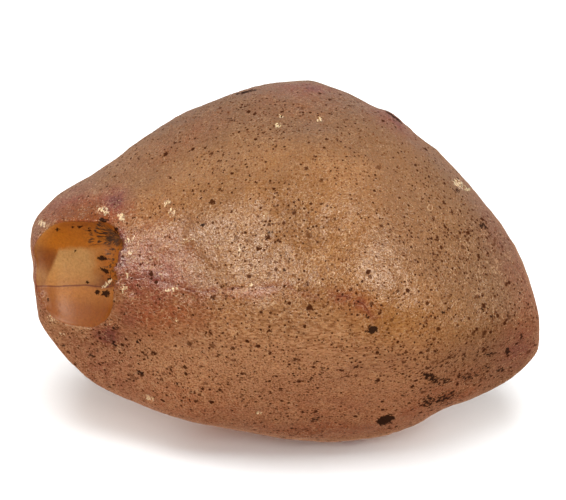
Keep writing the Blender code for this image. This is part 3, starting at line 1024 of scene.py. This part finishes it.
@dataclass(frozen=True)
class CarnelianFinish:
    """The stone's finish: waxy orange-brown skin, dark pits and stains, and a glassy amber chip.

    The strike is the U and V that the chip's hackles spread from. A ring is the U, V and radius of
    an old bruise. Limits are in mm of U or V, or of the value that their name says. A layer of peel
    is its size in mm, its detail and its height in mm.
    """

    tan: Triple = (0.378, 0.192, 0.082)
    brown: Triple = (0.285, 0.142, 0.062)
    # Painted shade, laid far out to the right and at the top.
    painted_shade: Triple = (0.185, 0.110, 0.062)
    sand: Triple = (0.640, 0.370, 0.215)
    honey: Triple = (0.370, 0.170, 0.044)
    # Laid on for real rust and for painted shade.
    rust_and_shade: Triple = (0.345, 0.092, 0.030)
    burnt: Triple = (0.250, 0.070, 0.006)
    # Laid on for real blush, the crack's halo, and painted shade at the right edge.
    blush_and_shade: Triple = (0.265, 0.076, 0.056)
    # Also the colour of the rim's painted shade.
    plum: Triple = (0.175, 0.048, 0.040)
    # Real pale grain and bruise rings, and also painted highlight in the flecks and crests.
    pale: Triple = (0.700, 0.470, 0.290)
    speck: Triple = (0.050, 0.011, 0.002)
    umber: Triple = (0.140, 0.036, 0.006)
    stain: Triple = (0.022, 0.009, 0.006)
    # Painted glint colour.
    painted_glint: Triple = (0.950, 0.800, 0.550)
    healed: Triple = (0.150, 0.030, 0.018)
    amber: Triple = (0.430, 0.138, 0.006)
    dark_amber: Triple = (0.215, 0.058, 0.005)
    pale_amber: Triple = (0.490, 0.275, 0.098)
    rose_amber: Triple = (0.510, 0.205, 0.040)
    deep_amber: Triple = (0.315, 0.088, 0.004)
    skin_grain: tuple[Triple, Triple] = ((0.56, 0.44, 0.33), (1.34, 1.42, 1.50))
    amber_grain: tuple[Triple, Triple] = ((0.88, 0.86, 0.82), (1.12, 1.14, 1.18))
    shaded_right: Limits = (8.0, 19.0)
    shaded_top: Limits = (8.0, 14.0)
    sandy_top: Limits = (-2.0, -9.0)
    sandy_bottom: Limits = (-15.0, -12.5)
    sandy_right: Limits = (17.0, 9.0)
    burnt_rust: Limits = (0.6, 1.5)
    plum_blush_and_shade: Limits = (0.7, 1.3)
    streaks_under_crack: float = 3.2
    streaks_reach: Limits = (3.4, 1.6)
    grainy_below: Limits = (8.0, 0.0)
    less_grainy_right: Limits = (3.0, 12.0)
    rings: tuple[Triple, ...] = ((5.0, -9.1, 0.50), (12.2, 4.6, 0.42))
    ring_edge: Limits = (0.08, 0.02)
    deep_below: Limits = (-2.2, -4.2)
    dark_end: Limits = (-18.8, -20.6)
    dark_left: Limits = (-8.2, -9.6)
    dark_top: Limits = (2.6, 3.6)
    pale_lip: tuple[Limits, Limits] = ((-19.8, -21.2), (0.4, -1.2))
    pale_brim: Limits = (-20.6, -22.6)
    window_left: Limits = (-19.45, -19.05)
    window_right: Limits = (-15.2, -16.9)
    window_top: Limits = (1.45, 0.85)
    window_low: Limits = (0.6, -2.4)
    under_crack: Limits = (0.1, -0.3)
    strike: tuple[float, float] = (-13.9, 2.1)
    hackle_near: Limits = (3.0, 0.3)
    hackle_far: Limits = (3.6, 2.4)
    hackle_bottom: Limits = (1.2, 1.7)
    corner_left: Limits = (-16.0, -14.9)
    corner_bottom: Limits = (-2.4, -1.8)
    corner_top: Limits = (2.0, 1.3)
    crust_right: Limits = (-20.3, -20.9)
    crust_top: Limits = (-2.0, -2.8)
    chip_edge: Limits = (0.06, 0.16)
    nick_edge: Limits = (0.02, 0.07)
    stain_edge: Limits = (0.56, 0.92)
    crack_halo: Limits = (0.9, 0.1)
    crack_line: Limits = (0.10, 0.02)
    sparkle_flecks_below: Limits = (12.0, 2.0)
    painted_glint_edge: Limits = (0.42, 0.56)
    peel: tuple[Triple, ...] = (
        (0.60, 2.0, 0.030), (0.26, 2.0, 0.034), (1.7, 2.0, 0.045), (0.14, 1.0, 0.036),
    )  # fmt: skip
    crest_height: float = 0.010
    speck_depth: float = 0.012
    waxy: float = 0.16
    waxy_spread: float = 0.14
    waxy_spots: float = 0.08
    glassy: float = 0.42
    index: float = 1.54
    gloss: float = 0.5
    scatter: float = 0.15
    scatter_reach: Triple = (1.0, 0.38, 0.14)
    scatter_depth: float = 0.0014
    dirt_roughness: float = 0.9
    dirt_gloss: float = 0.05

    def ground(self, graph: Graph, place: Wire) -> Wire:
        """The skin's ground: clouds of brown and tan, painted shade far right and at the top, sandy
        below, honey in spots.

        Args:
            graph: the material's nodes.
            place: U, V, W in mm.

        Returns:
            The colour.
        """
        u, v, _ = place.parts()
        # Painted shade: the skin darkens far out towards the right and the top.
        far = u.rise(*self.shaded_right).most(v.rise(*self.shaded_top))
        clouds = graph.noise(place, 6.0, 3.0).rise(0.30, 0.70) - far
        colour = graph.mix(far * 0.5, graph.mix(clouds, self.brown, self.tan), self.painted_shade)
        low = v.rise(*self.sandy_top) * v.rise(*self.sandy_bottom) * u.rise(*self.sandy_right)
        colour = graph.mix(low * 0.65, colour, self.sand)
        return graph.mix(graph.field("honey") * 0.7, colour, self.honey)

    def tinged(self, graph: Graph, colour: Wire, patchy: Wire) -> Wire:
        """Lays on the rust and blush spots, with painted shade among them at the top and right
        edge; they turn burnt and plum where they are strongest.

        Args:
            graph: the material's nodes.
            colour: the ground colour.
            patchy: breaks the spots up.

        Returns:
            The colour with its spots.
        """
        # Both fields carry painted shade at the top and the right edge as well as real colour.
        rust_and_shade, blush_and_shade = graph.field("rust_and_shade") * patchy, graph.field("blush_and_shade") * patchy
        colour = graph.mix(rust_and_shade, colour, self.rust_and_shade)
        colour = graph.mix(rust_and_shade.rise(*self.burnt_rust) * 0.88, colour, self.burnt)
        colour = graph.mix(blush_and_shade, colour, self.blush_and_shade)
        return graph.mix(blush_and_shade.rise(*self.plum_blush_and_shade) * 0.90, colour, self.plum)

    def crests(self, graph: Graph, place: Wire) -> Wire:
        """The winding crests between the dimples of the orange peel."""
        return graph.ridges(graph.wander(place, 0.8, 0.15), 0.45, 0.05)

    def grained(self, graph: Graph, place: Wire, colour: Wire, patchy: Wire) -> Wire:
        """Breaks the colour up: fine grain, streaks under the crack, and pale crests, partly
        painted highlight.

        Args:
            graph: the material's nodes.
            place: U, V, W in mm.
            colour: the colour with its spots.
            patchy: shifts the edge of the streaks.

        Returns:
            The grained colour.
        """
        u, v, _ = place.parts()
        drawn = abs(graph.field("crack") + self.streaks_under_crack) + patchy
        drawn = drawn.rise(*self.streaks_reach)
        streaks = graph.noise(place * (0.35, 1.0, 1.0), 0.18, 3.0, 0.6)
        grain = graph.noise(place, 0.16, 3.0, 0.6) * (1 - drawn) + streaks * drawn
        strength = v.rise(*self.grainy_below) * 0.45 + 0.55
        strength = strength - u.rise(*self.less_grainy_right) * 0.25
        tint = graph.mix(grain.rise(0.30, 0.70), *self.skin_grain)
        colour = graph.mix(strength, colour, tint, Blend.DARKEN)
        # Pale crests on the peel's ridges: partly grain, partly painted highlight.
        crests = self.crests(graph, place) * graph.noise(place, 1.1, 2.0).rise(0.35, 0.65)
        return graph.mix(crests * (strength * 0.66 - 0.06), colour, self.pale)

    def skin(self, graph: Graph, place: Wire) -> Wire:
        """The skin's whole colour but its specks, with pale rings of old bruises and a plum rim of
        painted shade.

        Args:
            graph: the material's nodes.
            place: U, V, W in mm.

        Returns:
            The colour.
        """
        u, v, _ = place.parts()
        patchy = graph.noise(place, 1.6, 4.0, 0.6).rise(0.28, 0.68) * 0.6 + 0.4
        colour = self.tinged(graph, self.ground(graph, place), patchy)
        colour = self.grained(graph, place, colour, patchy)
        for *middle, radius in self.rings:
            off = abs(apart(u, v, tuple(middle)) + patchy * 0.25 - radius)
            arc = off.rise(*self.ring_edge) * patchy.rise(0.50, 0.80)
            colour = graph.mix(arc * 0.5, colour, self.pale)
        # Painted shade: a plum band darkens the skin where it turns away from the broad face.
        rim = graph.field("rim") * graph.noise(place, 2.6, 3.0).rise(0.18, 0.58)
        return graph.mix(rim * 0.90, colour, self.plum)

    def specks(self, graph: Graph, place: Wire) -> tuple[Wire, Wire]:
        """Dark pits filled with dirt, in three sizes, more of them where the mesh says they crowd.

        Args:
            graph: the material's nodes.
            place: U, V, W in mm.

        Returns:
            Where fine specks lie, and where coarser ones lie.
        """
        crowd = graph.noise(place, 3.5, 2.0).rise(0.32, 0.70) * 0.45 + graph.field("crowd") * 0.55
        ragged = graph.wander(place, 0.13, 0.075)
        elsewhere = ragged + (7.0, 3.0, 5.0)
        blots, crumbs = graph.wander(ragged, 0.3, 0.26), graph.wander(ragged, 0.2, 0.09)
        fine = graph.dots(ragged, 0.30, 0.11, crowd * 0.30 + 0.75)
        middling = graph.dots(ragged, 0.40, 0.15, crowd * 0.75 + 0.38)
        middling = middling.most(graph.dots(elsewhere, 0.32, 0.14, crowd * 1.3 - 0.25))
        coarse = graph.dots(blots, 1.0, 0.34, crowd * crowd * 1.2)
        coarse = coarse.most(graph.dots(crumbs, 0.60, 0.25, crowd * 1.3 - 0.28))
        return fine, middling.most(coarse)

    def clear(self, graph: Graph, place: Wire, crack: Wire, ragged: Wire) -> Wire:
        """The chip's clear amber: orange above the crack, with a pale window, and deeper below.

        Args:
            graph: the material's nodes.
            place: U, V, W in mm.
            crack: how far above the crack a place is, in mm.
            ragged: noise that shifts every edge.

        Returns:
            The colour, slightly grained.
        """
        u, v, _ = place.parts()
        deep = (v + ragged * 0.8).rise(*self.deep_below)
        below = graph.mix(deep, self.rose_amber, self.deep_amber)
        end = (u + ragged * 0.5).rise(*self.dark_end)
        below = graph.mix(end * 0.65, below, self.dark_amber)
        left = (u * 0.5 + v + ragged * 0.8).rise(*self.dark_left)
        above = graph.mix(left, self.amber, self.dark_amber)
        top = (v + ragged * 0.5).rise(*self.dark_top)
        above = graph.mix(top * 0.45, above, self.dark_amber)
        lip = (u + v * 0.5).rise(*self.pale_lip[0]) * (v + ragged).rise(*self.pale_lip[1])
        above = graph.mix(lip * 0.5, above, self.pale_amber)
        brim = (u - v * 0.6).rise(*self.pale_brim)
        above = graph.mix(brim * 0.4, above, self.pale_amber)
        slant = u + (1.2 - v) * 0.41 + ragged * 0.25
        window = slant.rise(*self.window_left) * (u + ragged * 1.6).rise(*self.window_right)
        window = window * (v + ragged * 0.5).rise(*self.window_top)
        low = (v + ragged).rise(*self.window_low)
        pale = graph.mix(low * 0.6, self.pale_amber, self.rose_amber)
        floor = graph.mix(window, above, pale)
        colour = graph.mix(crack.rise(*self.under_crack), floor, below)
        grain = graph.noise(place, 0.22, 4.0, 0.7).rise(0.30, 0.70)
        return graph.mix(1.0, colour, graph.mix(grain, *self.amber_grain), Blend.DARKEN)

    def hackled(self, graph: Graph, place: Wire, ragged: Wire) -> Wire:
        """Where the chip is dark: hackles that fan out from the strike, and blots in its corner.

        The fan is noise read at six times the angle about the strike and 0.7 of the distance from
        it, so its lumps are drawn out along the rays.

        Args:
            graph: the material's nodes.
            place: U, V, W in mm.
            ragged: noise that shifts every edge.

        Returns:
            How dark it is, from 0 to 1.
        """
        u, v, _ = place.parts()
        along, up = u - self.strike[0], v - self.strike[1]
        turn = graph.add("ShaderNodeMath", {"operation": "ARCTAN2"}, {0: up, 1: along})
        reach = apart(u, v, self.strike)
        fan = graph.add("ShaderNodeCombineXYZ", {}, {0: turn * 6.0, 1: reach * 0.7})
        streaks = graph.add("ShaderNodeTexNoise", {}, {"Vector": fan, "Scale": 2.4, "Detail": 4.0})
        hackle = (streaks + reach.rise(*self.hackle_near) * 0.14).rise(0.53, 0.59)
        hackle = hackle * reach.rise(*self.hackle_far)
        under = (self.strike[0] - u) * 0.62 + 0.35 - up
        hackle = hackle * (v + ragged * 0.8).rise(*self.hackle_bottom) * under.rise(0.0, 0.3)
        corner = (u + ragged * 0.8).rise(*self.corner_left)
        corner = corner * (v + ragged).rise(*self.corner_bottom) * v.rise(*self.corner_top)
        blots = graph.noise(place * (0.6, 1.5, 1.0), 0.32, 3.0, 0.6).rise(0.52, 0.60) * corner
        return (hackle * 0.92).most(blots * 0.88)

    def fresh(self, graph: Graph, place: Wire, crack: Wire) -> Wire:
        """The chip's whole colour: clear amber under dark hackles.

        Args:
            graph: the material's nodes.
            place: U, V, W in mm.
            crack: how far above the crack a place is, in mm.

        Returns:
            The colour.
        """
        ragged = graph.noise(place, 0.8, 3.0) - 0.5
        clear = self.clear(graph, place, crack, ragged)
        return graph.mix(self.hackled(graph, place, ragged), clear, self.stain)

    def wear(self, graph: Graph, place: Wire) -> Wear:
        """Where the stone is broken and dirty: the mesh's values, with edges made ragged by noise.

        A crust of skin is left over the chip's lower left end.

        Args:
            graph: the material's nodes.
            place: U, V, W in mm.

        Returns:
            The wires.
        """
        u, v, _ = place.parts()
        broken = graph.noise(place, 0.7, 3.0) - 0.5
        crumbs = graph.noise(place, 0.28, 3.0, 0.6) - 0.5
        crust = (u + broken * 1.2).rise(*self.crust_right) * (v + broken).rise(*self.crust_top)
        chipped = graph.field("chipped") + broken * 0.10 + crumbs * 0.12
        chipped = chipped.rise(*self.chip_edge) * (1 - crust * 0.9)
        nicked = (graph.field("nicked") + broken * 0.05).rise(*self.nick_edge)
        stained = graph.field("stain") * 1.25 + crumbs * 2.2 + broken * 0.4
        stained = stained.rise(*self.stain_edge)
        fine, coarse = self.specks(graph, place)
        crack = graph.field("crack")
        return Wear(place, crack, broken, chipped, nicked, stained, fine, coarse)

    def colour(self, graph: Graph, wear: Wear) -> Wire:
        """The stone's colour under its dirt: skin and chip, healed crack, pale flecks of painted
        sparkle and painted glints.

        Args:
            graph: the material's nodes.
            wear: where the stone is broken and dirty.

        Returns:
            The colour.
        """
        place, crack, broken, chipped = wear.place, wear.crack, wear.broken, wear.chipped
        _, v, _ = place.parts()
        colour = graph.mix(chipped, self.skin(graph, place), self.fresh(graph, place, crack))
        gaps = graph.noise(place, 1.2, 2.0).rise(0.36, 0.58).most(chipped)
        halo = (abs(crack) + broken).rise(*self.crack_halo) * gaps
        colour = graph.mix(halo * (0.40 - chipped * 0.25), colour, self.blush_and_shade)
        line = (abs(crack) + broken * 0.12).rise(*self.crack_line) * gaps
        colour = graph.mix(line * 0.80, colour, self.healed)
        # Painted highlights: pale flecks scattered as sparkle, more of them low down.
        sparkle_flecks = graph.dots(graph.wander(place, 0.12, 0.06), 0.27, 0.085, 0.75)
        sparkle_flecks = sparkle_flecks * (1 - wear.coarse) * (1 - chipped)
        sparkle_flecks = sparkle_flecks * (v.rise(*self.sparkle_flecks_below) * 0.35 + 0.32)
        colour = graph.mix(sparkle_flecks, colour, self.pale)
        # Painted glints: bright spots laid into the colour, broken up by noise.
        sparkle = graph.noise(place * (1.6, 0.9, 1.0), 0.26, 3.0, 0.7) - 0.5
        painted_shine = (graph.field("painted_glint") * (sparkle * 4.5 + 0.62)).rise(*self.painted_glint_edge)
        return graph.mix(painted_shine * 0.9, colour, self.painted_glint)

    def roughness(self, graph: Graph, place: Wire, smooth: Wire) -> Wire:
        """The surface's roughness: waxy skin with glossier spots, and an even chip.

        Args:
            graph: the material's nodes.
            place: U, V, W in mm.
            smooth: where a break has left little relief.

        Returns:
            The roughness.
        """
        spots = graph.noise(place, 0.45, 2.0).rise(0.52, 0.66)
        skin = graph.noise(place, 3.0, 3.0) * self.waxy_spread + self.waxy
        skin = skin - spots * self.waxy_spots
        return skin * (1 - smooth) + smooth * self.glassy

    def height(self, graph: Graph, place: Wire, smooth: Wire, sunk: Wire) -> Wire:
        """The fine relief: orange peel of four sizes with winding crests, and sunken specks.

        Args:
            graph: the material's nodes.
            place: U, V, W in mm.
            smooth: where a break has left little relief.
            sunk: where the coarser specks lie.

        Returns:
            The height in mm.
        """
        peel = sum(graph.noise(place, size, detail) * high for size, detail, high in self.peel)
        skin = peel + self.crests(graph, place) * self.crest_height - sunk * self.speck_depth
        return skin * (1 - smooth * 0.80)

    def dirt(self, graph: Graph, wear: Wear) -> Wire:
        """The matt shader of the dirt in the pits and stains.

        Args:
            graph: the material's nodes.
            wear: where the stone is broken and dirty.

        Returns:
            A wire from the shader.
        """
        dark = graph.mix(wear.stained, graph.mix(wear.coarse, self.umber, self.speck), self.stain)
        matt = {"Roughness": self.dirt_roughness, "Specular IOR Level": self.dirt_gloss}
        return graph.add("ShaderNodeBsdfPrincipled", {}, {"Base Color": dark, **matt})

    def material(self, name: str, face: FaceFrame) -> bpy.types.Material:
        """The whole finish.

        Args:
            name: the material's name.
            face: the frame that the finish is laid out in.

        Returns:
            The material.
        """
        material = bpy.data.materials.new(name)
        graph = Graph(material, "Principled BSDF")
        objects = graph.add("ShaderNodeTexCoord", {}, {}, "Object")
        laid_out = {"Vector": objects, **face.mapping()}
        place = graph.add("ShaderNodeMapping", {"vector_type": "POINT"}, laid_out)
        wear = self.wear(graph, place)
        smooth = wear.chipped.most(wear.nicked * 0.5)
        height = self.height(graph, place, smooth, wear.coarse)
        relief = {"Strength": 1.0, "Distance": MM, "Height": height}
        graph.feed(
            Base_Color=self.colour(graph, wear),
            Roughness=self.roughness(graph, place, smooth),
            IOR=self.index,
            Specular_IOR_Level=self.gloss,
            Subsurface_Weight=self.scatter,
            Subsurface_Radius=self.scatter_reach,
            Subsurface_Scale=self.scatter_depth,
            Normal=graph.add("ShaderNodeBump", {}, relief),
        )
        specked = (wear.fine * 0.9).most(wear.coarse) * (1 - wear.chipped * 0.85)
        graph.cover(specked.most(wear.stained) * 0.95, self.dirt(graph, wear))
        return material


@dataclass(frozen=True)
class Softbox:
    """A soft square light. Towards is its direction from the stone.

    Lengths are in metres, and the power is in watts.
    """

    towards: Triple
    distance: float
    size: float
    power: float
    colour: Triple

    def build(self, name: str, target: Vector, face: FaceFrame, lit: bpy.types.Object) -> None:
        """Places the light, facing its target.

        Args:
            name: the light's name.
            target: where it points, in metres.
            face: the frame of the broad face.
            lit: the one object that it lights.
        """
        lamp = bpy.data.lights.new(name, "AREA")
        lamp.energy, lamp.size, lamp.color = self.power, self.size, self.colour
        box = bpy.data.objects.new(name, lamp)
        bpy.context.scene.collection.objects.link(box)
        away = face.direction(tuple(unit(self.towards)))
        box.location = target + away * self.distance
        box.rotation_euler = away.to_track_quat("Z", "Y").to_euler()
        receivers = bpy.data.collections.new(f"lit_by_{name}")
        receivers.objects.link(lit)
        box.light_linking.receiver_collection = receivers


@dataclass
class Studio:
    """The pale floor, the soft light about it, and the camera that looks square at the broad face.

    The softboxes light the stone alone, and the floor boxes the floor alone. Lengths are in metres,
    except for the stone's, which is in mm.
    """

    floor_size: float = 4.0
    floor_colour: Triple = (0.90, 0.90, 0.90)
    floor_roughness: float = 0.30
    surround: Triple = (0.61, 0.57, 0.535)
    below: Triple = (0.78, 0.42, 0.25)
    horizon: tuple[float, float] = (-0.5, 0.3)
    dim_front: tuple[float, float] = (0.65, 0.0)
    front_strength: float = 0.12
    softboxes: tuple[Softbox, ...] = (
        Softbox((-0.55, 0.24, 0.80), 0.5, 0.20, 1.42, (1.0, 0.88, 0.74)),
        Softbox((0.55, 0.34, 0.765), 0.5, 0.25, 1.84, (1.0, 0.88, 0.74)),
    )
    floor_boxes: tuple[Softbox, ...] = (
        Softbox((0.0, 0.72, 0.69), 1.3, 0.8, 21.0, (0.95, 0.98, 1.0)),
        Softbox((0.0, 0.10, 1.00), 1.3, 0.8, 13.0, (1.0, 0.94, 0.89)),
        Softbox((0.90, 0.45, 0.30), 1.3, 0.6, 7.8, (0.86, 0.96, 1.0)),
        Softbox((-0.90, 0.45, 0.30), 1.3, 0.6, 2.2, (0.80, 0.95, 1.0)),
    )
    camera_distance: float = 0.32
    stone_length: float = 44.0
    stone_pixels: float = 510.0
    middle_pixel: tuple[float, float] = (285.0, 262.0)
    clip: tuple[float, float] = (0.01, 20.0)

    def build_floor(self) -> bpy.types.Object:
        """A plain pale sheet under the stone, which the stone neither mirrors nor takes light from.

        Returns:
            The sheet, one square face.
        """
        half = self.floor_size / 2
        corners = [(-half, -half, 0), (half, -half, 0), (half, half, 0), (-half, half, 0)]
        mesh = bpy.data.meshes.new("floor")
        mesh.from_pydata(corners, [], [(0, 1, 2, 3)])
        floor = bpy.data.objects.new("floor", mesh)
        bpy.context.scene.collection.objects.link(floor)
        paint = bpy.data.materials.new("pale_floor")
        graph = Graph(paint, "Principled BSDF")
        graph.feed(Base_Color=self.floor_colour, Roughness=self.floor_roughness)
        mesh.materials.append(paint)
        floor.visible_diffuse = floor.visible_glossy = False
        return floor

    def build_light(
        self, face: FaceFrame, stone: bpy.types.Object, floor: bpy.types.Object
    ) -> None:
        """A pale surround, warm below and dim in front of the broad face, and the softboxes.

        The surround's strength falls from 1 to its front strength as the cosine between a direction
        and the face's own rises.

        Args:
            face: the frame of the broad face.
            stone: what the softboxes in front light.
            floor: the sheet that its own softboxes keep white.
        """
        target = Vector(face.shift)
        world = bpy.data.worlds.new("surround")
        graph = Graph(world, "Background")
        towards = graph.add("ShaderNodeTexCoord", {}, {}, "Generated")
        ahead = {0: towards, 1: tuple(face.direction((0, 0, 1)))}
        facing = graph.add("ShaderNodeVectorMath", {"operation": "DOT_PRODUCT"}, ahead, "Value")
        _, _, height = towards.parts()
        sky = graph.mix(height.rise(*self.horizon), self.below, self.surround)
        strength = facing.rise(*self.dim_front) * (1 - self.front_strength) + self.front_strength
        graph.feed(Color=sky, Strength=strength)
        bpy.context.scene.world = world
        for number, softbox in enumerate(self.softboxes):
            softbox.build(f"softbox_{number}", target, face, stone)
        for number, softbox in enumerate(self.floor_boxes):
            softbox.build(f"floor_softbox_{number}", target, face, floor)

    def build_camera(self, middle: Vector, face: FaceFrame) -> None:
        """A long lens square to the face, framed so that the stone has its place and its size.

        Args:
            middle: the stone's middle, in metres.
            face: the frame of the broad face.
        """
        pixel = self.stone_length / self.stone_pixels * MM
        across, up, out = (face.direction(axis) for axis in ((1, 0, 0), (0, 1, 0), (0, 0, 1)))
        aside = (PICTURE_WIDTH / 2 - self.middle_pixel[0]) * pixel
        above = (self.middle_pixel[1] - PICTURE_HEIGHT / 2) * pixel
        lens = bpy.data.cameras.new("camera")
        lens.lens = lens.sensor_width * self.camera_distance / (PICTURE_WIDTH * pixel)
        lens.clip_start, lens.clip_end = self.clip
        camera = bpy.data.objects.new("camera", lens)
        bpy.context.scene.collection.objects.link(camera)
        camera.location = middle + across * aside + up * above + out * self.camera_distance
        camera.rotation_euler = out.to_track_quat("Z", "Y").to_euler()
        bpy.context.scene.camera = camera


def main() -> None:
    """Builds the stone, dresses it and sets it in the studio."""
    logging.basicConfig(level=logging.INFO, format="%(message)s")
    log = logging.getLogger("carnelian")
    stone, face = Pebble().build("raw_carnelian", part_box(STONE_NODE))
    stone.data.materials.append(CarnelianFinish().material(SKIN_SLOT, face))
    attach(stone, STONE_BODY)
    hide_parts(STONE_NODE)
    log.info("stone: %d points, %d faces", len(stone.data.vertices), len(stone.data.polygons))
    studio = Studio()
    floor = studio.build_floor()
    studio.build_light(face, stone, floor)
    studio.build_camera(Vector(face.shift), face)
    bpy.context.scene.view_settings.view_transform = "Standard"
    log.info("studio: floor, %d softboxes and camera", len(studio.softboxes + studio.floor_boxes))


if __name__ == "__main__":
    main()
